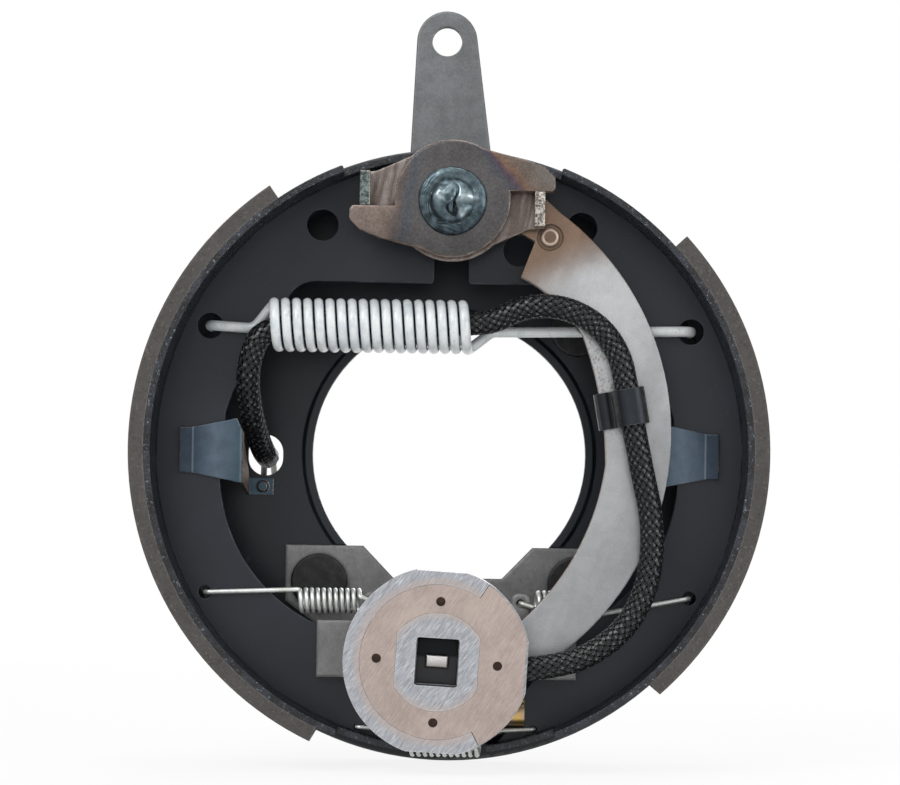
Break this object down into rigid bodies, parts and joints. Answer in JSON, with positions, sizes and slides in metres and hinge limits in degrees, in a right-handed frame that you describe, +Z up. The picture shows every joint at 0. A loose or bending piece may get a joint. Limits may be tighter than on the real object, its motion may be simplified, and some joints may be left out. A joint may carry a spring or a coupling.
{
  "type": "electric trailer brake",
  "caption": "Electric drum brake on a round backing plate: two lined shoes, a swinging arm with a round magnet, an adjuster, return springs and a parking lever.",
  "frame": {"origin": "centre of the four mounting studs, on the rear face of the backing plate", "axes": "+Y out of the rear face along the studs, the open side faces -Y, +Z up to the parking lever, +X to the right seen from the open side"},
  "size_m": [0.2526, 0.1053, 0.3115],
  "materials": {
    "plate_paint": "satin black coat",
    "shoe_paint": "satin black coat",
    "stud_paint": "matt black",
    "bracket_steel": "dull grey",
    "clip_steel": "blued",
    "plug_rubber": "matt",
    "white_spring_paint": "gloss off-white",
    "zinc_wire": "bright zinc",
    "yellow_zinc": "yellow zinc",
    "braided_sleeve": "braided",
    "wire_black": "smooth",
    "wire_white": "smooth",
    "lining_compound": "rough",
    "lever_steel": "dull",
    "heated_steel": "heat tinted",
    "weld_metal": "as welded",
    "arm_steel": "satin",
    "pin_brass_tint": "satin",
    "clip_black": "satin",
    "pole_steel": "ground",
    "winding_copper": "potted",
    "friction_compound": "ground"
  },
  "bodies": {
    "backing": {"backing_plate": "plate_paint", "plate_rim": "plate_paint", "mounting_studs": "stud_paint", "post_bush": "plate_paint", "arm_guide_bracket": "bracket_steel", "left_hold_clip": "clip_steel", "right_hold_clip": "clip_steel", "slot_plug": "plug_rubber", "upper_spring": "white_spring_paint", "lower_left_spring": "zinc_wire", "lower_right_spring": "zinc_wire", "adjuster_spring": "zinc_wire", "adjuster_nut": "yellow_zinc", "adjuster_socket": "yellow_zinc", "lead_plate_run": "braided_sleeve", "lead_wire_a": "wire_black", "lead_wire_b": "wire_white"},
    "star_wheel": {"adjuster_screw": "yellow_zinc"},
    "left_shoe": {"left_shoe_web": "shoe_paint", "left_shoe_table": "shoe_paint", "left_lining": "lining_compound"},
    "right_shoe": {"right_shoe_web": "shoe_paint", "right_shoe_table": "shoe_paint", "right_lining": "lining_compound"},
    "lever": {"park_lever": "lever_steel", "cam_post": "lever_steel", "driver_plate": "heated_steel", "post_weld": "weld_metal"},
    "arm": {"actuating_arm": "arm_steel", "expander": "heated_steel", "shoe_cam": "lever_steel", "arm_pin": "pin_brass_tint", "cable_clip": "clip_black", "magnet_post": "arm_steel", "magnet_clip": "clip_steel", "magnet_spring": "zinc_wire", "lead_swing_loop": "braided_sleeve", "lead_magnet_run": "braided_sleeve"},
    "magnet": {"magnet_shell": "pole_steel", "magnet_core": "pole_steel", "magnet_winding": "winding_copper", "friction_ring": "friction_compound"}
  },
  "joints": [
    {"name": "arm_swing", "type": "hinge", "parent": "backing", "child": "arm", "pos_m": [0, 0, 0.1], "axis": [0, 1, 0], "range_deg": [0, 4.5], "stiffness_Nm_per_rad": 10, "springref_deg": -8.59, "deforming": ["lead_swing_loop"]},
    {"name": "park_lever_turn", "type": "hinge", "parent": "backing", "child": "lever", "pos_m": [0, 0, 0.1], "axis": [0, 1, 0], "range_deg": [0, 4.5]},
    {"name": "left_shoe_spread", "type": "hinge", "parent": "backing", "child": "left_shoe", "pos_m": [-0.025, -0.04, -0.104], "axis": [0, -1, 0], "range_deg": [0, 0.3], "deforming": ["upper_spring", "lower_left_spring", "adjuster_spring"]},
    {"name": "right_shoe_spread", "type": "hinge", "parent": "backing", "child": "right_shoe", "pos_m": [0.025, -0.04, -0.104], "axis": [0, 1, 0], "range_deg": [0, 0.3], "deforming": ["upper_spring", "lower_right_spring", "adjuster_spring"]},
    {"name": "star_wheel_turn", "type": "hinge", "parent": "backing", "child": "star_wheel", "pos_m": [0, -0.04, -0.104], "axis": [1, 0, 0], "continuous": true},
    {"name": "magnet_slide", "type": "slide", "parent": "arm", "child": "magnet", "axis": [0, 1, 0], "range_m": [0, 0.002], "stiffness_N_per_m": 4000, "springref_m": -0.004, "deforming": ["magnet_spring", "lead_magnet_run"]}
  ],
  "couplings": [
    {"joint": "park_lever_turn", "follows": "arm_swing", "ratio": 1},
    {"joint": "left_shoe_spread", "follows": "arm_swing", "ratio": 0.05},
    {"joint": "right_shoe_spread", "follows": "arm_swing", "ratio": 0.05}
  ]
}
